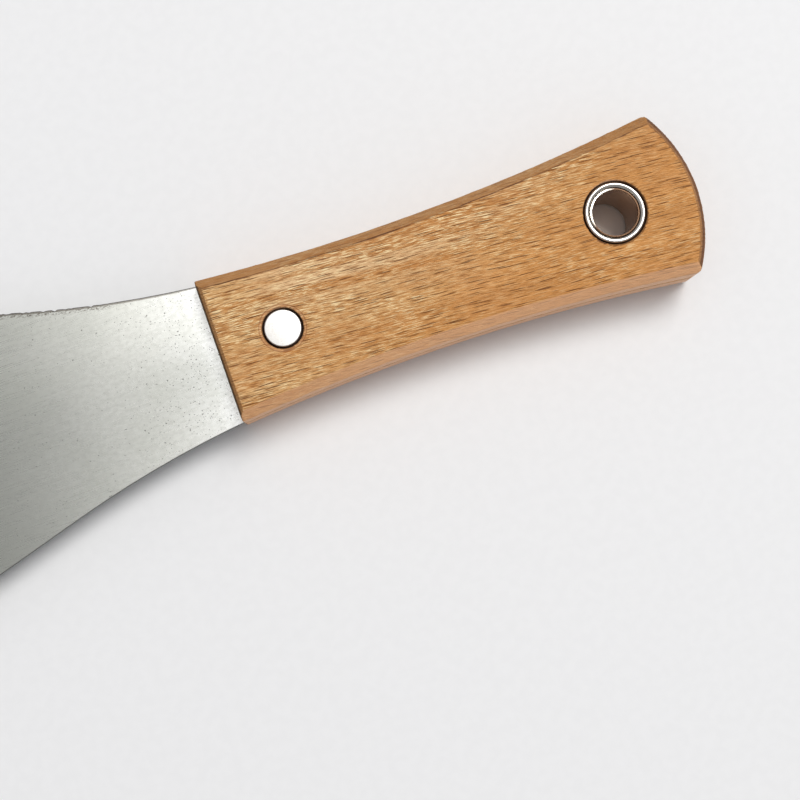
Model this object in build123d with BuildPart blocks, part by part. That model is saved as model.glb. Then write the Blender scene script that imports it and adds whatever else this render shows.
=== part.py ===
"""Flexible putty knife: a sprung steel blade with a full tang between two beech scales.

A solid cutlery rivet holds the front of the handle and a two-part tubular eyelet the butt.
The knife lies on its handle: X runs from the blade's working edge to the butt, Z is up, and
the origin is at the middle of the whole outline, on the surface that the handle rests on.
"""
from build123d import *
from math import cos, radians, sin, sqrt, tan
import os

# Lengths along X
HANDLE_LENGTH = 110.0
BLADE_EXPOSED = 91.0                # from the handle's front face to the working edge
TIP_X = -(HANDLE_LENGTH + BLADE_EXPOSED) / 2
FRONT_X = TIP_X + BLADE_EXPOSED
BUTT_X = FRONT_X + HANDLE_LENGTH

# Handle outline, seen from above: two hollow sides and a bowed butt
WAIST_X = FRONT_X + 42.0
WAIST_HALF_WIDTH = 14.3
SIDE_RADIUS = 482.0                 # of the hollow sides
BUTT_BOW = 5.6                      # how far the butt end stands out past its corners

# Handle section: two scales, one on each face of the tang
HANDLE_THICKNESS = 17.0
GAUGE = 1.2                         # of the sheet steel, in the tang
MID_Z = HANDLE_THICKNESS / 2
SCALE_THICKNESS = (HANDLE_THICKNESS - GAUGE) / 2
SIDE_CHAMFER = 2.2
BUTT_CHAMFER = 1.5
BUTT_CORNER_ROUND = 1.2
FRONT_CHAMFER = 1.1

# Blade outline and taper
TANG_INSET = 0.25                   # how far the tang stands back from the wood
THROAT_LENGTH = 40.0                # of the curve between the handle and the flanks
THROAT_ANGLE = 6.0                  # how far each side flares at the handle, in degrees
FLANK_ANGLE = 16.0                  # how far each straight flank flares
TIP_CORNER_RADIUS = 0.8
EDGE_GAUGE = 0.5                    # the steel's thickness at the working edge

# Solid rivet: a pin pressed into a barrel, each with a flat head let into the wood
RIVET_X = FRONT_X + 14.8
RIVET_HEAD_RADIUS = 4.0
RIVET_HEAD_THICKNESS = 1.2
RIVET_HEAD_ROUND = 0.25
RIVET_POCKET_RADIUS = 4.45
BARREL_RADIUS = 2.5
PIN_RADIUS = 1.6

# Tubular eyelet: a tube flanged on top, and an inner tube flanged underneath
EYELET_X = FRONT_X + 90.9
FLANGE_RADIUS = 6.65
FLANGE_THICKNESS = 1.1
FLANGE_ROUND = 0.5
FLANGE_POCKET_RADIUS = 7.0
OUTER_TUBE_RADIUS = 5.9
INNER_TUBE_RADIUS = 5.4
BORE_RADIUS = 5.0

# Fits
HEAD_RECESS = 0.15                  # how far each head lies below the face of the wood
SLIP = 0.05                         # radial clearance between parts that fit together
END_GAP = 1.0                       # left beyond the end of a barrel, a pin or a tube

# Heads, each as radius, thickness and rounding of its rim
RIVET_HEAD = (RIVET_HEAD_RADIUS, RIVET_HEAD_THICKNESS, RIVET_HEAD_ROUND)
FLANGE = (FLANGE_RADIUS, FLANGE_THICKNESS, FLANGE_ROUND)

# Levels of the pocket floors that the upper heads sit on, and the wood gripped between heads
RIVET_FLOOR = HANDLE_THICKNESS - HEAD_RECESS - RIVET_HEAD_THICKNESS
RIVET_GRIP = 2 * RIVET_FLOOR - HANDLE_THICKNESS
FLANGE_FLOOR = HANDLE_THICKNESS - HEAD_RECESS - FLANGE_THICKNESS
FLANGE_GRIP = 2 * FLANGE_FLOOR - HANDLE_THICKNESS

UP, DOWN = (0, 0, 1), (0, 0, -1)


def side_half_width(x):
    """Half of the handle's width at x, on the hollow arc of its sides."""
    return WAIST_HALF_WIDTH + SIDE_RADIUS - sqrt(SIDE_RADIUS**2 - (x - WAIST_X) ** 2)


def handle_outline(inset=0.0):
    """Draw the handle's outline, with its sides and butt moved in by the inset."""
    stations = (FRONT_X, WAIST_X, BUTT_X - BUTT_BOW)
    side = [(x, side_half_width(x) - inset) for x in stations]
    other_side = [(x, -y) for x, y in side]
    with BuildLine() as outline:
        ThreePointArc(*side)
        ThreePointArc(*other_side)
        ThreePointArc(side[-1], (BUTT_X - inset, 0), other_side[-1])
        Line(side[0], other_side[0])
    make_face(outline.edges())


def blade_outline():
    """Draw the exposed blade: on each side a throat arc, then a straight flank."""
    first, last = radians(THROAT_ANGLE), radians(FLANK_ANGLE)
    arc_radius = THROAT_LENGTH / (sin(last) - sin(first))
    throat_y = side_half_width(FRONT_X) - TANG_INSET

    def on_throat(angle):
        back = arc_radius * (sin(angle) - sin(first))
        out = arc_radius * (cos(first) - cos(angle))
        return (FRONT_X - back, throat_y + out)

    arc = [on_throat(angle) for angle in (first, (first + last) / 2, last)]
    flank_x, flank_y = arc[-1]
    tip = (TIP_X, flank_y + (flank_x - TIP_X) * tan(last))
    other_arc = [(x, -y) for x, y in arc]
    other_tip = (tip[0], -tip[1])
    with BuildLine() as outline:
        ThreePointArc(*arc)
        Line(arc[-1], tip)
        Line(tip, other_tip)
        Line(other_tip, other_arc[-1])
        ThreePointArc(*other_arc)
        Line(other_arc[0], arc[0])
    make_face(outline.edges())


def seat(x, level, outward):
    """A plane at x and at a level, facing up or down."""
    return Plane((x, 0, level), x_dir=(1, 0, 0), z_dir=outward)


def outward_axis(plane):
    """The axis that leads away from the tang on this seat."""
    return Axis(plane.origin, plane.z_dir)


def headed_shank(plane, head_radius, head_thickness, head_round, shank_radius, shank_length):
    """Make a round head standing on the part's seat and a shank that goes through it."""
    Cylinder(head_radius, head_thickness, align=(Align.CENTER, Align.CENTER, Align.MIN))
    Cylinder(shank_radius, shank_length, align=(Align.CENTER, Align.CENTER, Align.MAX))
    rims = edges().filter_by(GeomType.CIRCLE).group_by(SortBy.RADIUS)[-1]
    fillet(rims.sort_by(outward_axis(plane))[-1], head_round)


os.makedirs("parts", exist_ok=True)

# Blade, with its tang
with BuildPart() as blade:
    with BuildSketch(Plane.XY.offset(MID_Z)):
        handle_outline(TANG_INSET)
        blade_outline()
    extrude(amount=GAUGE / 2, both=True)
    corners = blade.edges().filter_by(Axis.Z).group_by(Axis.X)
    fillet(corners[0], TIP_CORNER_RADIUS)
    fillet(corners[-1], BUTT_CORNER_ROUND)
    # the side profile thins the exposed steel towards the working edge
    profile = [(TIP_X, EDGE_GAUGE / 2), (FRONT_X, GAUGE / 2), (BUTT_X, GAUGE / 2)]
    upper_side = [(x, MID_Z + half) for x, half in profile]
    lower_side = [(x, MID_Z - half) for x, half in reversed(profile)]
    with BuildSketch(Plane.XZ):
        with BuildLine():
            Polyline(*upper_side, *lower_side, close=True)
        make_face()
    extrude(amount=HANDLE_LENGTH, both=True, mode=Mode.INTERSECT)
    with Locations((RIVET_X, 0, HANDLE_THICKNESS)):
        Hole(BARREL_RADIUS + SLIP)
    with Locations((EYELET_X, 0, HANDLE_THICKNESS)):
        Hole(OUTER_TUBE_RADIUS + SLIP)
blade.part.label = "blade"
export_step(blade.part, "parts/blade.step")

# Upper and lower scales, each built outwards from its seat on the tang
scale_seats = {
    "upper_scale": seat(0, MID_Z + GAUGE / 2, UP),
    "lower_scale": seat(0, MID_Z - GAUGE / 2, DOWN),
}
for name, scale_seat in scale_seats.items():
    with BuildPart(scale_seat) as scale:
        with BuildSketch(scale_seat):
            handle_outline()
        extrude(amount=SCALE_THICKNESS)
        chamfers = [
            (slice(1, -1), SIDE_CHAMFER),
            (slice(0, 1), FRONT_CHAMFER),
            (slice(-1, None), BUTT_CHAMFER),
        ]
        for position, size in chamfers:
            rim = scale.faces().sort_by(outward_axis(scale_seat))[-1].edges().sort_by(Axis.X)
            chamfer(rim[position], size)
        fillet(scale.edges().filter_by(Axis.Z).group_by(Axis.X)[-1], BUTT_CORNER_ROUND)
        with Locations((RIVET_X, 0, SCALE_THICKNESS)):
            CounterBoreHole(
                BARREL_RADIUS + SLIP, RIVET_POCKET_RADIUS, HEAD_RECESS + RIVET_HEAD_THICKNESS
            )
        with Locations((EYELET_X, 0, SCALE_THICKNESS)):
            CounterBoreHole(
                OUTER_TUBE_RADIUS + SLIP, FLANGE_POCKET_RADIUS, HEAD_RECESS + FLANGE_THICKNESS
            )
    scale.part.label = name
    export_step(scale.part, f"parts/{name}.step")

# Rivet barrel: head on top, blind bore from below
barrel_seat = seat(RIVET_X, RIVET_FLOOR, UP)
with BuildPart(barrel_seat) as rivet_barrel:
    barrel_length = RIVET_GRIP - END_GAP
    headed_shank(barrel_seat, *RIVET_HEAD, BARREL_RADIUS, barrel_length)
    with Locations((0, 0, -barrel_length)):
        Hole(PIN_RADIUS + SLIP, depth=barrel_length - END_GAP)
rivet_barrel.part.label = "rivet_barrel"
export_step(rivet_barrel.part, "parts/rivet_barrel.step")

# Rivet pin: head underneath, pressed up into the barrel
pin_seat = seat(RIVET_X, HANDLE_THICKNESS - RIVET_FLOOR, DOWN)
with BuildPart(pin_seat) as rivet_pin:
    headed_shank(pin_seat, *RIVET_HEAD, PIN_RADIUS, RIVET_GRIP - 2 * END_GAP)
rivet_pin.part.label = "rivet_pin"
export_step(rivet_pin.part, "parts/rivet_pin.step")

# Eyelet, outer tube: flange on top
outer_seat = seat(EYELET_X, FLANGE_FLOOR, UP)
with BuildPart(outer_seat) as eyelet_outer:
    headed_shank(outer_seat, *FLANGE, OUTER_TUBE_RADIUS, FLANGE_GRIP - END_GAP)
    Hole(INNER_TUBE_RADIUS + SLIP)
eyelet_outer.part.label = "eyelet_outer"
export_step(eyelet_outer.part, "parts/eyelet_outer.step")

# Eyelet, inner tube: flange underneath, and its other end just inside the top flange
inner_seat = seat(EYELET_X, HANDLE_THICKNESS - FLANGE_FLOOR, DOWN)
with BuildPart(inner_seat) as eyelet_inner:
    headed_shank(inner_seat, *FLANGE, INNER_TUBE_RADIUS, FLANGE_GRIP + FLANGE_THICKNESS / 2)
    Hole(BORE_RADIUS)
eyelet_inner.part.label = "eyelet_inner"
export_step(eyelet_inner.part, "parts/eyelet_inner.step")
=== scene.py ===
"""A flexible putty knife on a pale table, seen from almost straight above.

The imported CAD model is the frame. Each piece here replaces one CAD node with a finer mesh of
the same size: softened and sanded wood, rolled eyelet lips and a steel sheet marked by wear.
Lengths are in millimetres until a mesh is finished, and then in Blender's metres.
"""
from math import cos, exp, hypot, pi, radians, sin, tan

import bmesh
import bpy
from mathutils import Matrix, Vector, noise


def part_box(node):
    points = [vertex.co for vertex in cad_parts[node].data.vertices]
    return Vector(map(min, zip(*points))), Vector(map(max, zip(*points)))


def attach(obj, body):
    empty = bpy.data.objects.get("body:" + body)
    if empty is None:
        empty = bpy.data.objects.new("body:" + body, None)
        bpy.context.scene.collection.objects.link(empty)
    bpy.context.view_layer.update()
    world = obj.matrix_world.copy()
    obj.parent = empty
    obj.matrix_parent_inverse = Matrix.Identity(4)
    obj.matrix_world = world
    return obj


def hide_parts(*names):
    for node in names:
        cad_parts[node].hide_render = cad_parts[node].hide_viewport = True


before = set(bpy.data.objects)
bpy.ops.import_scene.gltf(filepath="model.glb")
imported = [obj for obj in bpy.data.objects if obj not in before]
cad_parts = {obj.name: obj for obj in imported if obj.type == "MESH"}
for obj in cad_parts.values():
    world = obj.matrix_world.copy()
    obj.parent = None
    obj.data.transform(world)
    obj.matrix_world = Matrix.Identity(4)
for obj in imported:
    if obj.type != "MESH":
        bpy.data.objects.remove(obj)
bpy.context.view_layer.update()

MM = 0.001


def box_mm(node):
    """Lowest and highest corner of a CAD node, in millimetres."""
    low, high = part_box(node)
    return Vector(low) / MM, Vector(high) / MM


# Places, worked out from the frame
WOOD_LOW, WOOD_HIGH = box_mm("upper_scale")
BLADE_LOW, BLADE_HIGH = box_mm("blade")
HEAD_LOW, HEAD_HIGH = box_mm("rivet_barrel")
PIN_LOW, PIN_HIGH = box_mm("rivet_pin")
FLANGE_LOW, FLANGE_HIGH = box_mm("eyelet_outer")
SLEEVE_LOW, SLEEVE_HIGH = box_mm("eyelet_inner")
FRONT_X, BUTT_X, TIP_X = WOOD_LOW.x, WOOD_HIGH.x, BLADE_LOW.x
TOP_Z = WOOD_HIGH.z
MID_Z = TOP_Z / 2
RIVET_X = (HEAD_LOW.x + HEAD_HIGH.x) / 2
EYELET_X = (FLANGE_LOW.x + FLANGE_HIGH.x) / 2

# The blade's upper edge: a straight flank, then a slight curve from here to the handle
FLANK_SLOPE = tan(radians(16))
FLANK_LEVEL = BLADE_HIGH.y + TIP_X * FLANK_SLOPE
THROAT_X = FRONT_X - 40
THROAT_BEND = 0.0024                # rise of the curve above the flank's line, per mm squared
NICKED_X = FRONT_X - 34.5           # the middle of its nicked and rusted part
NICKED_HALF_LENGTH = 17

# Sizes of the fasteners inside their boxes
HEAD_RADIUS = (HEAD_HIGH.x - HEAD_LOW.x) / 2
HEAD_THICKNESS = 1.2
HEAD_POCKET_RADIUS = 4.45
BARREL_RADIUS = 2.5
PIN_RADIUS = 1.6
FLANGE_RADIUS = (FLANGE_HIGH.x - FLANGE_LOW.x) / 2
FLANGE_THICKNESS = 1.1
FLANGE_POCKET_RADIUS = 7.0
OUTER_TUBE_RADIUS = 5.9
INNER_TUBE_RADIUS = 5.4
BORE_RADIUS = 5.0
SLIP = 0.05                         # between parts that fit together
END_GAP = 1.0                       # between the pin's end and the bottom of the barrel's bore
HEAD_ROUND = 0.22
UNDER_ROUND = 0.1                   # on the underside of a rivet's head
END_ROUND = 0.15                    # on the ends of the barrel and pin, and under the flanges
FLANGE_ROUND = 0.42
LIP_ROUND = 0.72                    # where the flange rolls into its tube
SLEEVE_ROUND = 0.06                 # on the upper end of the inner tube


# ---------------------------------------------------------------- shader nodes
def colour(red, green, blue):
    """A linear colour from 0-255 display values."""
    def linear(value):
        value /= 255
        return value / 12.92 if value <= 0.04045 else ((value + 0.055) / 1.055) ** 2.4
    return (linear(red), linear(green), linear(blue), 1.0)


class Shader:
    """A new material with short calls for adding nodes to it."""

    def __init__(self, name):
        self.material = bpy.data.materials.new(name)
        self.material.use_nodes = True
        self.nodes = self.material.node_tree.nodes
        self.links = self.material.node_tree.links
        self.surface = self.nodes["Principled BSDF"]
        object_place = self.nodes.new("ShaderNodeTexCoord").outputs["Object"]
        self.place = self.vector("SCALE", object_place, Scale=1 / MM)

    def put(self, socket, value):
        if isinstance(value, bpy.types.NodeSocket):
            self.links.new(value, socket)
        else:
            socket.default_value = value

    def add(self, kind, *values, output=0, settings=None, **named):
        """Add a node, fill its sockets in order or by name, and return one output."""
        node = self.nodes.new("ShaderNode" + kind)
        for key, value in (settings or {}).items():
            setattr(node, key, value)
        for socket, value in zip(node.inputs, values):
            self.put(socket, value)
        for key, value in named.items():
            self.put(node.inputs[key], value)
        return node.outputs[output]

    def math(self, operation, *values):
        return self.add("Math", *values, settings={"operation": operation})

    def vector(self, operation, *values, **named):
        return self.add("VectorMath", *values, settings={"operation": operation}, **named)

    def length(self, vector):
        return self.add("VectorMath", vector, output="Value", settings={"operation": "LENGTH"})

    def stretch(self, x, y, z, shift=0.0):
        """The place on the object, in millimetres, scaled along each axis."""
        return self.vector("MULTIPLY_ADD", self.place, (x, y, z), (shift, shift, shift))

    def noise(self, place, detail=2.0, roughness=0.5):
        return self.add(
            "TexNoise", Vector=place, Scale=1.0, Detail=detail, Roughness=roughness
        )

    def cells(self, place, output="Distance"):
        """Distance to the middle of the nearest of many scattered cells, or its place or colour."""
        return self.add("TexVoronoi", output=output, Vector=place, Scale=1.0)

    def span(self, value, low, high, to_low=0.0, to_high=1.0):
        """Map a value from one range to another, smoothly and without leaving it."""
        return self.add(
            "MapRange", value, low, high, to_low, to_high,
            settings={"interpolation_type": "SMOOTHSTEP"},
        )

    def mix(self, factor, first, second):
        """Blend two colours. The node has other sockets for numbers and for vectors."""
        node = self.nodes.new("ShaderNodeMix")
        node.data_type = "RGBA"
        self.put(node.inputs[0], factor)
        self.put(node.inputs[6], first)
        self.put(node.inputs[7], second)
        return node.outputs[2]

    def bump(self, height, distance, strength):
        """Tilt the surface by a height of 0 to 1 that stands for a distance in millimetres."""
        return self.add("Bump", Height=height, Distance=distance * MM, Strength=strength)

    def radius_from(self, x):
        """Distance from the vertical line through a place on the handle's axis."""
        return self.length(self.vector("MULTIPLY_ADD", self.place, (1, 1, 0), (-x, 0, 0)))

    def axis(self, name):
        return self.add("SeparateXYZ", self.place, output=name)

    def set(self, **values):
        for key, value in values.items():
            self.put(self.surface.inputs[key.replace("_", " ")], value)
        return self.material


# ---------------------------------------------------------------- finishes
REFLECTION_BRIGHT_X = FRONT_X - 12.5           # painted reflection: the steel's colour goes from bright here
REFLECTION_DULL_X = FRONT_X - 68.5             # to dull here
GRAIN_SLOPE = 0.08                  # the grain runs out towards the near side
GRAIN_BEND = 1.6                    # and wanders by up to this many millimetres
FLECK_REACH = 0.42                  # half of a fleck's length, as a share of its cell
FLECK_SHAPE = (1.0, 2.6, 0.7)       # the larger a number, the thinner the fleck along that axis
POCKET_SHADE = 0.08                 # how far the shade in the eyelet's pocket blurs past its rim


def grain_space(s, shift):
    """A function that gives the place along the bent grain, scaled along each axis."""
    bend = s.noise(s.stretch(0.03, 0.12, 0.12, shift), detail=1.0)
    drift = s.math("MULTIPLY", s.axis("X"), GRAIN_SLOPE)
    across = s.math("ADD", s.axis("Y"), s.math("MULTIPLY_ADD", bend, GRAIN_BEND, drift))
    along_grain = s.add("CombineXYZ", s.axis("X"), across, s.axis("Z"))

    def stretched(x, y, z, more=0.0):
        return s.vector("MULTIPLY_ADD", along_grain, (x, y, z), (shift + more,) * 3)
    return stretched


def flecks(s, place, rarity):
    """Thin dashes along the grain, at most one in each cell, and none in a share of the cells."""
    chance = s.add("SeparateColor", s.cells(place, "Color"), output=0)
    away = s.vector("SUBTRACT", place, s.cells(place, "Position"))
    away = s.length(s.vector("MULTIPLY", away, FLECK_SHAPE))
    shape = s.span(away, FLECK_REACH, FLECK_REACH / 2)
    return s.math("MULTIPLY", shape, s.span(chance, rarity, rarity + 0.1))


def sanded_wood(s, stretched, toward_butt, fibres, grain):
    """The colour of the large faces: yellow at the front, browner behind, and a painted highlight on
    the far side.
    """
    ground = s.mix(toward_butt, colour(224, 178, 119), colour(219, 154, 84))
    # painted highlight: the far side of the large faces is made paler near the front, where the
    # light falls on it
    painted_far_side_highlight = s.math("MULTIPLY", s.span(s.axis("Y"), 0, 8), s.span(toward_butt, 0, 0.7, 0.6, 0.0))
    painted_far_side_highlight = s.math("MULTIPLY", painted_far_side_highlight, s.span(s.axis("X"), FRONT_X + 6, FRONT_X + 18))
    ground = s.mix(painted_far_side_highlight, ground, colour(250, 214, 166))
    bands = s.noise(stretched(0.012, 0.42, 0.42), detail=3.0)
    blotches = s.noise(stretched(0.05, 0.11, 0.11, 7), detail=2.0)
    streaks = s.noise(stretched(0.07, 1.7, 1.7, 23), detail=3.0, roughness=0.55)
    tone = s.mix(s.span(bands, 0.35, 0.68), ground, colour(203, 140, 74))
    tone = s.mix(s.span(blotches, 0.45, 0.75, 0.0, 0.35), tone, colour(214, 150, 92))
    tone = s.mix(s.span(fibres, 0.42, 0.66, 0.0, 0.5), tone, colour(168, 108, 44))
    tone = s.mix(s.span(streaks, 0.52, 0.7, 0.0, 0.25), tone, colour(162, 102, 44))
    # pale grain, partly a painted highlight on the tops of the raised grain
    pale = s.math("MULTIPLY", s.span(grain, 0.52, 0.6), s.span(toward_butt, 0, 1, 1.0, 0.45))
    pale = s.math("MULTIPLY", pale, s.span(blotches, 0.56, 0.4, 0.45, 1.0))
    tone = s.mix(pale, tone, colour(255, 226, 172))
    # dark grain, partly painted shade beside the raised grain
    shade = s.span(toward_butt, 0, 1, 0.7, 0.4)
    return s.mix(s.span(grain, 0.45, 0.38, 0.0, shade), tone, colour(150, 91, 36))


def cut_wood(s, stretched, toward_butt, tone):
    """Add the colour of the cut faces: brown on the far side with painted shade in the crease along
    its edge, painted light on the near one, painted shade on the ends.
    """
    facing = s.add("NewGeometry", output="Normal")
    facing_x = s.math("ABSOLUTE", s.add("SeparateXYZ", facing, output="X"))
    facing_y = s.add("SeparateXYZ", facing, output="Y")
    tone = s.mix(s.span(facing_y, 0.3, 0.6, 0.0, 0.75), tone, colour(160, 108, 54))
    # painted shade in the crease where the broad faces roll over into the far side, broken up by
    # noise
    crease = s.math("MULTIPLY", s.span(facing_y, 0.05, 0.25), s.span(facing_y, 0.6, 0.4))
    crease_breakup = s.noise(stretched(0.14, 0.3, 0.3, 53), detail=2.0)
    crease = s.math("MULTIPLY", crease, s.span(crease_breakup, 0.45, 0.6, 0.6, 1.0))
    tone = s.mix(crease, tone, colour(100, 58, 26))
    # painted light: the cut faces on the near side are made pale, as if lit
    painted_near_side_light = s.mix(toward_butt, colour(226, 168, 120), colour(244, 188, 142))
    tone = s.mix(s.span(facing_y, -0.3, -0.6, 0.0, 0.65), tone, painted_near_side_light)
    # painted light: a paler strip on the faces turned furthest to the near side
    tone = s.mix(s.span(facing_y, -0.85, -0.97, 0.0, 0.6), tone, colour(250, 206, 170))
    # painted shade on the faces turned to the front and the butt
    tone = s.mix(s.span(facing_x, 0.3, 0.6, 0.0, 0.8), tone, colour(158, 108, 60))

    # painted shade: a dark rim just below both broad faces, at the front and at the butt
    from_middle = s.math("ABSOLUTE", s.math("SUBTRACT", s.axis("Z"), MID_Z))
    depth = s.math("SUBTRACT", MID_Z, from_middle)
    rim = s.math("MULTIPLY", s.span(depth, 0.5, 0.85), s.span(depth, 1.6, 1.2))
    rim = s.math("MULTIPLY", rim, s.span(facing_x, 0.3, 0.55, 0.0, 0.85))
    return s.mix(rim, tone, s.mix(toward_butt, colour(60, 44, 22), colour(104, 64, 36)))


def pocket_wood(s, tone):
    """Add the wood crushed round the rivet, and the shaded walls of both pockets."""
    past_rim = s.math("SUBTRACT", s.radius_from(RIVET_X), HEAD_POCKET_RADIUS)
    crushed = s.math("MULTIPLY", s.span(past_rim, 0.7, 0.55), s.span(past_rim, -0.05, 0.15))
    tone = s.mix(s.math("MULTIPLY", crushed, 0.45), tone, colour(206, 146, 98))
    ring = s.math("MULTIPLY", s.span(past_rim, 0.85, 0.7), s.span(past_rim, 0.5, 0.65))
    tone = s.mix(s.math("MULTIPLY", ring, 0.6), tone, colour(146, 84, 44))
    past_eyelet_rim = s.math("SUBTRACT", s.radius_from(EYELET_X), FLANGE_POCKET_RADIUS)
    eyelet_pocket = s.span(past_eyelet_rim, POCKET_SHADE, -POCKET_SHADE)
    pocket = s.math("MAXIMUM", s.span(past_rim, 0.05, -0.1), eyelet_pocket)
    return s.mix(s.math("MULTIPLY", pocket, 0.95), tone, colour(38, 18, 8))


def beech(name, shift):
    """Sanded, thinly varnished beech: growth bands, ray flecks, fibres and raised grain."""
    s = Shader(name)
    stretched = grain_space(s, shift)
    fibres = s.noise(stretched(0.35, 5.5, 5.5, 3), detail=4.0, roughness=0.6)
    lumps = s.noise(stretched(0.75, 3.0, 3.0, 11), detail=3.0, roughness=0.6)
    grain = s.noise(stretched(0.36, 4.6, 4.6, 31), detail=4.0, roughness=0.58)
    rays = flecks(s, stretched(0.16, 1.45, 0.8), 0.25)
    fine_rays = flecks(s, stretched(0.3, 2.2, 1.0, 19), 0.3)

    # the pale zone reaches further back on the far side than on the near one
    slanted = s.math("MULTIPLY_ADD", s.axis("Y"), -2.4, s.axis("X"))
    toward_butt = s.span(slanted, FRONT_X + 22, BUTT_X - 22)
    tone = sanded_wood(s, stretched, toward_butt, fibres, grain)
    tone = s.mix(s.math("MULTIPLY", rays, 0.85), tone, colour(108, 58, 18))
    tone = s.mix(s.math("MULTIPLY", fine_rays, 0.7), tone, colour(124, 72, 26))
    tone = cut_wood(s, stretched, toward_butt, tone)
    tone = pocket_wood(s, tone)

    relief = s.math("MULTIPLY_ADD", rays, -0.5, s.math("ADD", lumps, grain))
    relief = s.math("MULTIPLY_ADD", fibres, 0.5, relief)
    return s.set(
        Base_Color=tone,
        Roughness=s.span(lumps, 0.3, 0.7, 0.5, 0.68),
        Normal=s.bump(relief, 0.28, 0.8),
        Specular_IOR_Level=0.35,
    )


def pits(s, rate, size, rare, common):
    """Ragged pits in some of the cells: rare on the free blade, common beside the handle."""
    ragged = s.noise(s.stretch(4.5, 4.5, 4.5, 13), detail=2.0)
    patches = s.noise(s.stretch(0.16, 0.2, 0.2, 17), detail=2.0)
    place = s.stretch(rate, rate * 1.15, 1.3, 2)
    chance = s.add("SeparateColor", s.cells(place, "Color"), output=1)
    least = s.span(s.axis("X"), FRONT_X - 28, FRONT_X, rare, common)
    least = s.math("MULTIPLY_ADD", s.span(patches, 0.6, 0.4), 0.14, least)
    chosen = s.math("GREATER_THAN", chance, least)
    reach = s.math("MULTIPLY_ADD", ragged, 0.45, s.cells(place))
    return s.math("MULTIPLY", s.span(reach, size + 0.2, size * 0.4 + 0.2), chosen)


def upper_edge_rust_and_shade(s):
    """Painted shade along the blade's upper edge, and the rust that has bitten into its middle."""
    x = s.axis("X")
    past = s.math("MAXIMUM", s.math("SUBTRACT", x, THROAT_X), 0.0)
    edge = s.math("MULTIPLY_ADD", x, -FLANK_SLOPE, FLANK_LEVEL)
    edge = s.math("MULTIPLY_ADD", s.math("MULTIPLY", past, past), THROAT_BEND, edge)
    inside = s.math("SUBTRACT", edge, s.axis("Y"))
    along = s.math("SUBTRACT", x, NICKED_X)
    strip = s.math("MULTIPLY", s.span(inside, 1.3, 0.5),
                   s.math("MULTIPLY", s.span(along, -18, -12), s.span(along, 20, 12)))
    crumbs = s.noise(s.stretch(1.6, 3.2, 3.2, 21), detail=4.0, roughness=0.7)
    rust = s.math("MULTIPLY", strip, s.span(crumbs, 0.49, 0.58))
    # painted shade: a thin dark line along the whole upper edge
    line = s.math("MULTIPLY", s.span(inside, 0.4, 0.15), s.span(along, -26, -12, 0.3, 0.8))
    return s.math("MAXIMUM", rust, line)


def blade_steel():
    """Rolled spring steel, rubbed along the blade, with pitting by the handle and the edge."""
    s = Shader("spring_steel")
    x = s.axis("X")
    drawn = s.noise(s.stretch(0.12, 7.0, 7.0), detail=5.0, roughness=0.65)
    mottle = s.noise(s.stretch(0.8, 1.1, 1.1, 5), detail=5.0, roughness=0.6)
    cloud = s.noise(s.stretch(0.06, 0.09, 0.09, 9), detail=2.0)
    specks = s.math("MAXIMUM", pits(s, 1.1, 0.27, 0.93, 0.72), pits(s, 2.3, 0.36, 0.92, 0.6))

    # painted reflection: the steel's colour dims away from the handle, as its reflection of the
    # lights does
    tone = s.mix(s.span(x, REFLECTION_BRIGHT_X, REFLECTION_DULL_X), colour(219, 219, 211), colour(188, 189, 179))
    # painted light: the steel is made brighter towards the handle, where the handle's shade falls on
    # it
    tone = s.mix(s.span(x, FRONT_X - 16, FRONT_X - 4), tone, colour(226, 226, 220))
    tone = s.mix(s.span(x, FRONT_X - 5, FRONT_X - 1), tone, colour(250, 250, 246))
    tone = s.mix(s.span(mottle, 0.35, 0.7, 0.0, 0.4), tone, colour(186, 186, 177))
    tone = s.mix(s.span(cloud, 0.4, 0.7, 0.0, 0.25), tone, colour(190, 192, 180))
    tone = s.mix(s.math("MULTIPLY", specks, 0.85), tone, colour(70, 68, 64))
    tone = s.mix(s.math("MULTIPLY", upper_edge_rust_and_shade(s), 0.8), tone, colour(88, 74, 60))

    # painted shade: the sheet's own edges are dark on the open blade, and lighter between the scales
    facing = s.add("SeparateXYZ", s.add("NewGeometry", output="Normal"), output="Z")
    edges = s.span(s.math("ABSOLUTE", facing), 0.97, 0.85, 0.0, 0.95)
    painted_edge_shade = s.mix(s.span(x, FRONT_X, FRONT_X + 1), colour(52, 50, 46), colour(150, 148, 140))
    tone = s.mix(edges, tone, painted_edge_shade)
    height = s.math("MULTIPLY_ADD", specks, -0.8, s.math("MULTIPLY_ADD", drawn, 0.35, mottle))
    return s.set(
        Base_Color=tone,
        Metallic=1.0,
        Roughness=s.span(drawn, 0.3, 0.7, 0.26, 0.33),
        Anisotropic=0.35,
        Normal=s.bump(height, 0.006, 0.7),
    )


def rivet_metal():
    """Bright solid aluminium with a satin face and a few specks."""
    s = Shader("rivet_metal")
    grain = s.noise(s.stretch(3.0, 3.0, 3.0), detail=4.0, roughness=0.7)
    place = s.stretch(2.2, 2.2, 2.2, 4)
    chance = s.add("SeparateColor", s.cells(place, "Color"), output=2)
    specks = s.math("MULTIPLY", s.span(s.cells(place), 0.3, 0.12),
                    s.math("GREATER_THAN", chance, 0.8))
    tone = s.mix(s.span(grain, 0.4, 0.7), colour(226, 224, 219), colour(218, 214, 207))
    tone = s.mix(s.math("MULTIPLY", specks, 0.3), tone, colour(150, 130, 116))
    return s.set(
        Base_Color=tone,
        Metallic=1.0,
        Roughness=s.span(grain, 0.3, 0.7, 0.4, 0.48),
        Normal=s.bump(grain, 0.003, 0.6),
    )


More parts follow.
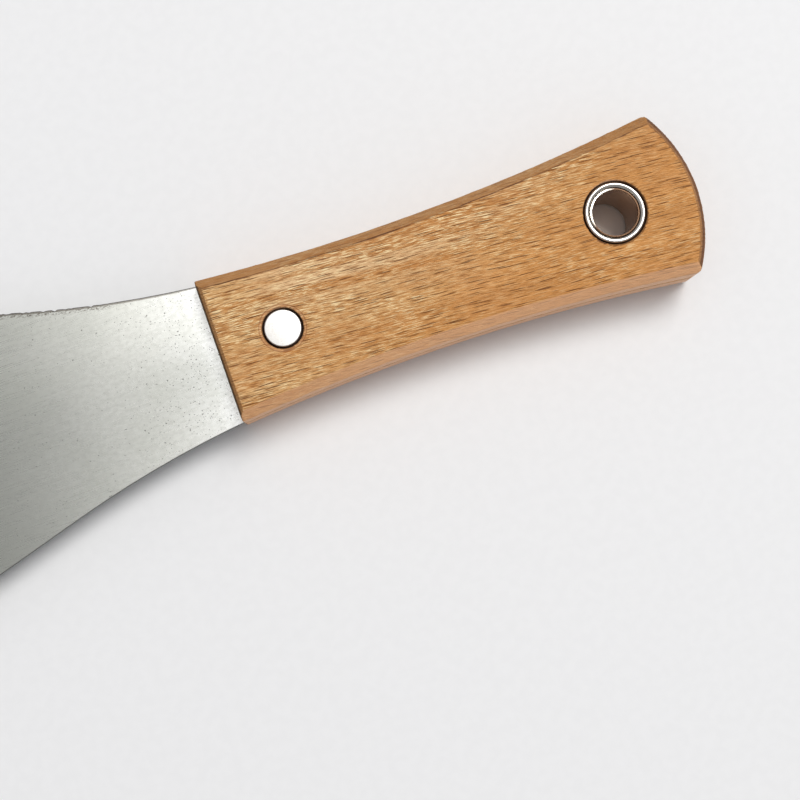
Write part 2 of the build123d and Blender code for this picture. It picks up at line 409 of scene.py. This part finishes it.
def nickel_plate():
    """Nickel plating: bright on the rolled lips, with painted shade that dulls the mouth, darkens
    the inner tube's end on the far side and browns the bore.
    """
    s = Shader("nickel_plate")
    grain = s.noise(s.stretch(1.2, 1.2, 1.2), detail=4.0, roughness=0.6)
    reach = s.radius_from(EYELET_X)

    # this grows from the far side, towards the blade, to the near side, towards the butt
    slant = s.math("SUBTRACT", s.math("SUBTRACT", s.axis("X"), EYELET_X), s.axis("Y"))
    # painted light and shade: the mouth is dulled further out on the far side, towards the blade,
    # than on the near side
    lip = s.math("MULTIPLY_ADD", s.span(slant, -2, 8), 0.6, reach)
    painted_mouth_shade = s.span(lip, FLANGE_RADIUS - 0.2, FLANGE_RADIUS - 0.55)
    tone = s.mix(painted_mouth_shade, colour(228, 223, 214), colour(206, 200, 188))
    # painted shade: the inner tube's end is dark on the far side, towards the blade, and pale on the
    # near side
    sleeve_end_with_shade = s.mix(s.span(slant, -3, -7), colour(64, 48, 36), colour(226, 220, 208))
    tone = s.mix(s.span(reach, INNER_TUBE_RADIUS + 0.04, INNER_TUBE_RADIUS), tone, sleeve_end_with_shade)
    # painted shade: the bore's walls are coloured brown
    in_bore = s.span(reach, BORE_RADIUS + 0.015, BORE_RADIUS + 0.005)
    tone = s.mix(in_bore, tone, colour(184, 148, 116))
    return s.set(
        Base_Color=tone,
        Metallic=1.0,
        Roughness=s.span(grain, 0.3, 0.7, 0.16, 0.24),
    )


# ---------------------------------------------------------------- meshes
def rounded(corners, steps=6):
    """A closed outline from (x, y, radius) corners, with an arc at each one that has a radius."""
    outline = []
    for index, (x, y, radius) in enumerate(corners):
        here = Vector((x, y))
        before = (Vector(corners[index - 1][:2]) - here).normalized()
        after = (Vector(corners[(index + 1) % len(corners)][:2]) - here).normalized()
        if radius == 0:
            outline.append(here)
            continue
        half = before.angle(after) / 2
        centre = here + (before + after).normalized() * radius / sin(half)
        start = here + before * radius / tan(half) - centre
        end = here + after * radius / tan(half) - centre
        for step in range(steps + 1):
            outline.append(centre + start.lerp(end, step / steps).normalized() * radius)
    return outline


def lathe(profile, centre_x, segments=160):
    """Turn a closed outline of (radius, height) points about a vertical axis."""
    bm = bmesh.new()
    turns = [2 * pi * index / segments for index in range(segments)]
    rings = []
    for radius, height in profile:
        on_axis = radius < 1e-4
        ring_turns = turns[:1] if on_axis else turns
        rings.append([
            bm.verts.new((centre_x + radius * cos(turn), radius * sin(turn), height))
            for turn in ring_turns
        ])
    for ring, following in zip(rings, rings[1:] + rings[:1]):
        for index in range(segments):
            after = (index + 1) % segments
            corners = [ring[index % len(ring)], ring[after % len(ring)],
                       following[after % len(following)], following[index % len(following)]]
            corners = list(dict.fromkeys(corners))
            if len(corners) > 2:
                bm.faces.new(corners)
    bmesh.ops.recalc_face_normals(bm, faces=bm.faces)
    return bm


def cad_mesh(node):
    """A copy of a CAD node's mesh in millimetres, welded, with its flat faces whole."""
    bm = bmesh.new()
    bm.from_mesh(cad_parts[node].data)
    bmesh.ops.scale(bm, vec=(1 / MM,) * 3, verts=bm.verts)
    bmesh.ops.remove_doubles(bm, verts=bm.verts, dist=0.001)
    bmesh.ops.dissolve_limit(bm, angle_limit=radians(0.3), verts=bm.verts, edges=bm.edges)
    return bm


def place_piece(name, bm, node, material, smooth_angle=35):
    """Make the object, put it on the knife in place of a CAD node, and give it its finish.

    With no smooth angle, the faces keep the shading that they already have.
    """
    mesh = bpy.data.meshes.new(name)
    bm.to_mesh(mesh)
    bm.free()
    mesh.transform(Matrix.Scale(MM, 4))
    mesh.materials.append(material)
    if smooth_angle:
        mesh.shade_smooth()
        mesh.set_sharp_from_angle(angle=radians(smooth_angle))
    piece = bpy.data.objects.new(name, mesh)
    bpy.context.scene.collection.objects.link(piece)
    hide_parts(node)
    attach(piece, "root")
    return piece


def remeshed(bm, voxel):
    """The same solid in even small squares, which softens its edges by about one of them."""
    mesh = bpy.data.meshes.new("rough")
    bm.to_mesh(mesh)
    bm.free()
    rough = bpy.data.objects.new("rough", mesh)
    bpy.context.scene.collection.objects.link(rough)
    modifier = rough.modifiers.new("voxels", "REMESH")
    modifier.mode = "VOXEL"
    modifier.voxel_size = voxel
    fine = bmesh.new()
    fine.from_object(rough, bpy.context.evaluated_depsgraph_get())
    bpy.data.objects.remove(rough)
    bpy.data.meshes.remove(mesh)
    return fine


# ---------------------------------------------------------------- the wood
WOOD_VOXEL = 0.36                   # the size of the squares of its mesh
SANDED_OFF = 0.035                  # on average, over every face
GRAIN_RELIEF = 0.03
HAND_RELIEF = 0.03                  # of the broad, shallow unevenness
RIVET_DENT = 0.06                   # where the rivet pressed the wood down round its pocket


def wood_relief(point, shift):
    """How far sanding, raised grain and the rivet's dent leave the wood below its nominal face."""
    x, y, z = point
    long_grain = noise.noise(Vector((x * 0.6, y * 2.2, z * 2.2 + shift)))
    hand_sanding = noise.noise(Vector((x * 0.05, y * 0.09, z * 0.09 + shift)))
    depth = SANDED_OFF + GRAIN_RELIEF * long_grain + HAND_RELIEF * hand_sanding
    ring = hypot(x - RIVET_X, y) - HEAD_POCKET_RADIUS
    depth += RIVET_DENT * exp(-((ring - 0.25) / 0.35) ** 2)
    return max(depth, 0.0)


def make_scale(name, node, material, shift):
    """One beech scale, with softened edges and a sanded surface of real relief."""
    bm = remeshed(cad_mesh(node), WOOD_VOXEL)
    bm.normal_update()
    moves = [(vertex, vertex.normal * wood_relief(vertex.co, shift)) for vertex in bm.verts]
    for vertex, move in moves:
        vertex.co -= move
    return place_piece(name, bm, node, material, smooth_angle=60)


# the shifts give each scale a grain and a relief of its own
make_scale("beech_upper", "upper_scale", beech("beech_upper", 0.0), 0.0)
make_scale("beech_lower", "lower_scale", beech("beech_lower", 41.0), 50.0)


# ---------------------------------------------------------------- the blade
EDGE_CHAMFER = 0.18
STEEL_STEP_X = 0.6
STEEL_STEP_Y = 1.6
UNEVENNESS = 0.05                   # of the sheet, up and down
FIRM_LENGTH = 20                    # beside the handle, where it is less uneven
NICK_DEPTH = 0.5
NICK_REACH = 2.0                    # how far in from the edge the steel is drawn with a nick


def steps_between(low, high, step):
    """Even places between two ends, about a step apart."""
    count = int((high - low) / step)
    return [low + (high - low) * (index + 0.5) / count for index in range(count)]


def on_outline(edge):
    """Whether an edge of the CAD sheet runs round its outline, away from both holes."""
    start, end = (vertex.co for vertex in edge.verts)
    level = abs(start.z - end.z) < 0.5
    middle = (start + end) / 2
    to_hole = min(hypot(middle.x - x, middle.y) for x in (RIVET_X, EYELET_X))
    return level and to_hole > FLANGE_POCKET_RADIUS and edge.calc_face_angle(0) > radians(60)


def nick_depth(x):
    """How deep the upper edge of the blade is nicked at x."""
    share = max(0.0, 1 - abs((x - NICKED_X) / NICKED_HALF_LENGTH) ** 4)
    return NICK_DEPTH * share * max(0.0, noise.noise(Vector((x * 0.9, 7.0, 0.0)))) ** 0.7


def cut_in_squares(bm):
    """Divide the sheet's faces, so that they can follow its unevenness."""
    cuts = [((x, 0, 0), (1, 0, 0)) for x in steps_between(TIP_X, FRONT_X, STEEL_STEP_X)]
    rows = steps_between(BLADE_LOW.y, BLADE_HIGH.y, STEEL_STEP_Y)
    cuts += [((0, y, 0), (0, 1, 0)) for y in rows]
    for place, normal in cuts:
        geometry = bm.verts[:] + bm.edges[:] + bm.faces[:]
        bmesh.ops.bisect_plane(bm, geom=geometry, dist=1e-4, plane_co=place, plane_no=normal)


def make_blade():
    """The steel sheet, with broken edges, a slight unevenness and a nicked upper edge."""
    bm = cad_mesh("blade")
    outline = [edge for edge in bm.edges if on_outline(edge)]
    bmesh.ops.bevel(bm, geom=outline, offset=EDGE_CHAMFER, segments=2, profile=0.5,
                    affect="EDGES", clamp_overlap=True)
    cut_in_squares(bm)
    for vertex in bm.verts:
        x, y, z = vertex.co
        free = min(max((FRONT_X - x) / FIRM_LENGTH, 0), 1)
        vertex.co.z += UNEVENNESS * free * noise.noise(Vector((x * 0.045, y * 0.05, 3.0)))
        edge = FLANK_LEVEL - x * FLANK_SLOPE + THROAT_BEND * max(x - THROAT_X, 0) ** 2
        vertex.co.y -= nick_depth(x) * min(max(1 - (edge - y) / NICK_REACH, 0), 1)
    bm.normal_update()
    for face in bm.faces:
        face.smooth = abs(face.normal.z) > 0.99
    return place_piece("steel_blade", bm, "blade", blade_steel(), smooth_angle=0)


make_blade()


# ---------------------------------------------------------------- the fasteners
def make_rivet():
    """Both halves of the solid rivet: barrel on top, pin underneath."""
    metal = rivet_metal()
    floor = HEAD_HIGH.z - HEAD_THICKNESS
    blind_end = PIN_HIGH.z + END_GAP
    bore = PIN_RADIUS + SLIP
    barrel = rounded([
        (0, HEAD_HIGH.z, 0), (HEAD_RADIUS, HEAD_HIGH.z, HEAD_ROUND),
        (HEAD_RADIUS, floor, UNDER_ROUND), (BARREL_RADIUS, floor, 0),
        (BARREL_RADIUS, HEAD_LOW.z, END_ROUND), (bore, HEAD_LOW.z, 0),
        (bore, blind_end, 0), (0, blind_end, 0),
    ])
    place_piece("rivet_head_upper", lathe(barrel, RIVET_X), "rivet_barrel", metal)
    ceiling = PIN_LOW.z + HEAD_THICKNESS
    pin = rounded([
        (0, PIN_LOW.z, 0), (HEAD_RADIUS, PIN_LOW.z, HEAD_ROUND), (HEAD_RADIUS, ceiling, UNDER_ROUND),
        (PIN_RADIUS, ceiling, 0), (PIN_RADIUS, PIN_HIGH.z, END_ROUND), (0, PIN_HIGH.z, 0),
    ])
    place_piece("rivet_head_lower", lathe(pin, RIVET_X), "rivet_pin", metal)


def make_eyelet():
    """Both tubes of the eyelet: rolled flange on top, nested tube and flange below."""
    nickel = nickel_plate()
    top, floor = FLANGE_HIGH.z, FLANGE_HIGH.z - FLANGE_THICKNESS
    mouth = INNER_TUBE_RADIUS + SLIP
    outer = rounded([
        (mouth, top, LIP_ROUND), (FLANGE_RADIUS, top, FLANGE_ROUND),
        (FLANGE_RADIUS, floor, END_ROUND),
        (OUTER_TUBE_RADIUS, floor, 0), (OUTER_TUBE_RADIUS, FLANGE_LOW.z, 0),
        (mouth, FLANGE_LOW.z, 0),
    ])
    place_piece("eyelet_flange", lathe(outer, EYELET_X), "eyelet_outer", nickel)
    low, ceiling = SLEEVE_LOW.z, SLEEVE_LOW.z + FLANGE_THICKNESS
    inner = rounded([
        (BORE_RADIUS, low, LIP_ROUND), (FLANGE_RADIUS, low, FLANGE_ROUND),
        (FLANGE_RADIUS, ceiling, END_ROUND),
        (INNER_TUBE_RADIUS, ceiling, 0), (INNER_TUBE_RADIUS, SLEEVE_HIGH.z, SLEEVE_ROUND),
        (BORE_RADIUS, SLEEVE_HIGH.z, SLEEVE_ROUND),
    ])
    place_piece("eyelet_sleeve", lathe(inner, EYELET_X), "eyelet_inner", nickel)


make_rivet()
make_eyelet()


# ---------------------------------------------------------------- table, light and camera
TABLE_HALF_WIDTH = 3.0              # in metres, as are the places and sizes of the lights
ROOM_COLOUR = (0.93, 0.94, 1.0, 1.0)
ROOM_STRENGTH = 0.39
CAMERA_PLACE = (8.54, -41.07, 336.55)   # in millimetres, as is the point it aims at
CAMERA_AIM = (24.22, -22.43, MID_Z)
CAMERA_ROLL = 19.5                  # how far the handle rises to the right, in degrees
SENSOR_WIDTH, LENS = 36.0, 67.5


def make_table():
    """A plain pale table top."""
    s = Shader("table_top")
    grain = s.noise(s.stretch(0.4, 0.4, 0.4), detail=3.0)
    shade = s.mix(s.span(grain, 0.3, 0.7), colour(236, 236, 235), colour(238, 238, 237))
    material = s.set(Base_Color=shade, Roughness=0.7, Specular_IOR_Level=0.2)
    bm = bmesh.new()
    bmesh.ops.create_grid(bm, x_segments=1, y_segments=1, size=TABLE_HALF_WIDTH)
    mesh = bpy.data.meshes.new("table")
    bm.to_mesh(mesh)
    bm.free()
    mesh.materials.append(material)
    table = bpy.data.objects.new("table", mesh)
    bpy.context.scene.collection.objects.link(table)


def make_light(name, place, aim, size, power, tint):
    """A soft rectangular light, placed and aimed in metres."""
    lamp = bpy.data.lights.new(name, "AREA")
    lamp.shape = "RECTANGLE"
    lamp.size, lamp.size_y = size
    lamp.energy = power
    lamp.color = tint
    light = bpy.data.objects.new(name, lamp)
    light.location = place
    light.rotation_mode = "QUATERNION"
    light.rotation_quaternion = (Vector(aim) - Vector(place)).to_track_quat("-Z", "Y")
    bpy.context.scene.collection.objects.link(light)


def make_room():
    """Dim surroundings, so that the lights draw the shading."""
    world = bpy.data.worlds.new("room")
    world.use_nodes = True
    background = world.node_tree.nodes["Background"]
    background.inputs["Color"].default_value = ROOM_COLOUR
    background.inputs["Strength"].default_value = ROOM_STRENGTH
    bpy.context.scene.world = world
    bpy.context.scene.view_settings.view_transform = "Standard"


def make_camera():
    """The photograph's view: above the handle's near side, with the handle rising to the right."""
    place = Vector(CAMERA_PLACE) * MM
    aim = Vector(CAMERA_AIM) * MM
    roll = radians(CAMERA_ROLL)
    back = (place - aim).normalized()
    right = Vector((sin(roll), cos(roll), 0)).cross(back).normalized()
    up = back.cross(right)
    lens = bpy.data.cameras.new("camera")
    lens.sensor_width = SENSOR_WIDTH
    lens.lens = LENS
    lens.clip_start = 0.01
    camera = bpy.data.objects.new("camera", lens)
    turn = Matrix((right, up, back)).transposed().to_4x4()
    camera.matrix_world = Matrix.Translation(place) @ turn
    bpy.context.scene.collection.objects.link(camera)
    bpy.context.scene.camera = camera


make_table()
make_room()
make_light("key_softbox", (0.93, 0.6, 2.0), (0, 0, 0), (1.0, 1.0), 32.0, (1, 0.99, 0.98))
make_light("overhead_softbox", (0.45, 0.52, 2.0), (0.45, 0.52, 0), (1.5, 1.36), 7.0, (1, 1, 1))
make_camera()
